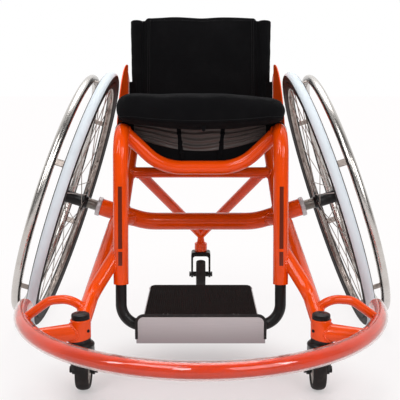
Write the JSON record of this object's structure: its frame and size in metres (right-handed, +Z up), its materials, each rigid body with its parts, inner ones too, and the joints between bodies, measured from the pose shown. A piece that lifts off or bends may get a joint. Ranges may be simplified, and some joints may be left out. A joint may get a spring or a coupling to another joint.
{
  "type": "basketball wheelchair",
  "caption": "Rigid sports wheelchair with cambered wheels, a round front bumper, a padded seat, a low back, swivelling casters and an adjustable footplate.",
  "frame": {"origin": "on the floor, under the middle of the chair's plan, halfway between the bumper's front and the wheels' rear", "axes": "+Z up, +X towards the sitter's left side, and the chair faces -Y"},
  "size_m": [0.8514, 0.9446, 0.7157],
  "materials": {
    "frame_paint": "glossy orange powder coat",
    "black_metal": "satin black anodised aluminium",
    "satin_metal": "satin steel",
    "chrome": "polished",
    "silver": "brushed aluminium",
    "tyre": "pale blue-grey rubber with a fine tread",
    "rubber": "moulded dark rubber",
    "hose": "clear flexible plastic",
    "fabric": "black woven nylon, padded",
    "webbing": "grey-brown woven straps"
  },
  "bodies": {
    "frame": {"camber_tube": "frame_paint", "front_seat_tube": "frame_paint", "rear_cross_tube": "frame_paint", "rear_stays": "frame_paint", "rear_caster_housing": "frame_paint", "bumper_bar": "frame_paint", "bumper_hose": "hose", "seat_sling": "webbing", "seat_cushion": "fabric", "left_rail": "frame_paint", "left_upright": "frame_paint", "left_lower_tube": "frame_paint", "left_leg_brace": "frame_paint", "left_caster_housing": "frame_paint", "left_bumper_arch": "frame_paint", "left_side_guard": "frame_paint", "left_caster_cap": "black_metal", "left_back_bracket": "black_metal", "left_axle_sleeve": "satin_metal", "left_axle_collar": "silver", "left_axle_pin": "satin_metal", "right_rail": "frame_paint", "right_upright": "frame_paint", "right_lower_tube": "frame_paint", "right_leg_brace": "frame_paint", "right_caster_housing": "frame_paint", "right_bumper_arch": "frame_paint", "right_side_guard": "frame_paint", "right_caster_cap": "black_metal", "right_back_bracket": "black_metal", "right_axle_sleeve": "satin_metal", "right_axle_collar": "silver", "right_axle_pin": "satin_metal"},
    "left_wheel": {"left_tyre": "tyre", "left_rim": "chrome", "left_hub_and_spokes": "black_metal", "left_handrim": "chrome"},
    "left_button": {"left_axle_button": "silver"},
    "right_wheel": {"right_tyre": "tyre", "right_rim": "chrome", "right_hub_and_spokes": "black_metal", "right_handrim": "chrome"},
    "right_button": {"right_axle_button": "silver"},
    "left_fork": {"left_caster_fork": "black_metal", "left_caster_bolt": "satin_metal"},
    "left_caster": {"left_caster_wheel": "rubber"},
    "right_fork": {"right_caster_fork": "black_metal", "right_caster_bolt": "satin_metal"},
    "right_caster": {"right_caster_wheel": "rubber"},
    "rear_fork": {"rear_caster_fork": "black_metal", "rear_caster_bolt": "satin_metal"},
    "rear_caster": {"rear_caster_wheel": "rubber"},
    "footrest": {"footrest_tube": "black_metal"},
    "footplate": {"footplate": "silver", "footplate_mat": "rubber", "footplate_trim": "black_metal", "footplate_clamp": "black_metal"},
    "backrest": {"back_frame": "black_metal", "back_upholstery": "fabric"}
  },
  "joints": [
    {"name": "left_wheel_spin", "type": "hinge", "parent": "frame", "child": "left_wheel", "pos_m": [0.293, 0.168, 0.29068], "axis": [0.9511, 0, 0.309], "continuous": true},
    {"name": "left_button_press", "type": "slide", "parent": "frame", "child": "left_button", "axis": [-0.9511, 0, -0.309], "range_m": [0, 0.004], "stiffness_N_per_m": 1000, "springref_m": -0.002},
    {"name": "right_wheel_spin", "type": "hinge", "parent": "frame", "child": "right_wheel", "pos_m": [-0.293, 0.168, 0.29068], "axis": [-0.9511, 0, 0.309], "continuous": true},
    {"name": "right_button_press", "type": "slide", "parent": "frame", "child": "right_button", "axis": [0.9511, 0, -0.309], "range_m": [0, 0.004], "stiffness_N_per_m": 1000, "springref_m": -0.002},
    {"name": "left_caster_swivel", "type": "hinge", "parent": "frame", "child": "left_fork", "pos_m": [0.2175, -0.268, 0.12], "axis": [0, 0, 1], "continuous": true},
    {"name": "left_caster_spin", "type": "hinge", "parent": "left_fork", "child": "left_caster", "pos_m": [0.2175, -0.244, 0.0375], "axis": [1, 0, 0], "continuous": true},
    {"name": "right_caster_swivel", "type": "hinge", "parent": "frame", "child": "right_fork", "pos_m": [-0.2175, -0.268, 0.12], "axis": [0, 0, 1], "continuous": true},
    {"name": "right_caster_spin", "type": "hinge", "parent": "right_fork", "child": "right_caster", "pos_m": [-0.2175, -0.244, 0.0375], "axis": [1, 0, 0], "continuous": true},
    {"name": "rear_caster_swivel", "type": "hinge", "parent": "frame", "child": "rear_fork", "pos_m": [0, 0.413, 0.12], "axis": [0, 0, 1], "continuous": true},
    {"name": "rear_caster_spin", "type": "hinge", "parent": "rear_fork", "child": "rear_caster", "pos_m": [0, 0.389, 0.0505], "axis": [1, 0, 0], "continuous": true},
    {"name": "footrest_height", "type": "slide", "parent": "frame", "child": "footrest", "axis": [0, -0.1132, -0.9936], "range_m": [-0.035, 0.03]},
    {"name": "footplate_tilt", "type": "hinge", "parent": "footrest", "child": "footplate", "pos_m": [0, -0.13375, 0.086], "axis": [1, 0, 0], "range_deg": [-10, 10]},
    {"name": "backrest_tilt", "type": "hinge", "parent": "frame", "child": "backrest", "pos_m": [0, 0.298, 0.43332], "axis": [1, 0, 0], "range_deg": [-6, 6]}
  ]
}
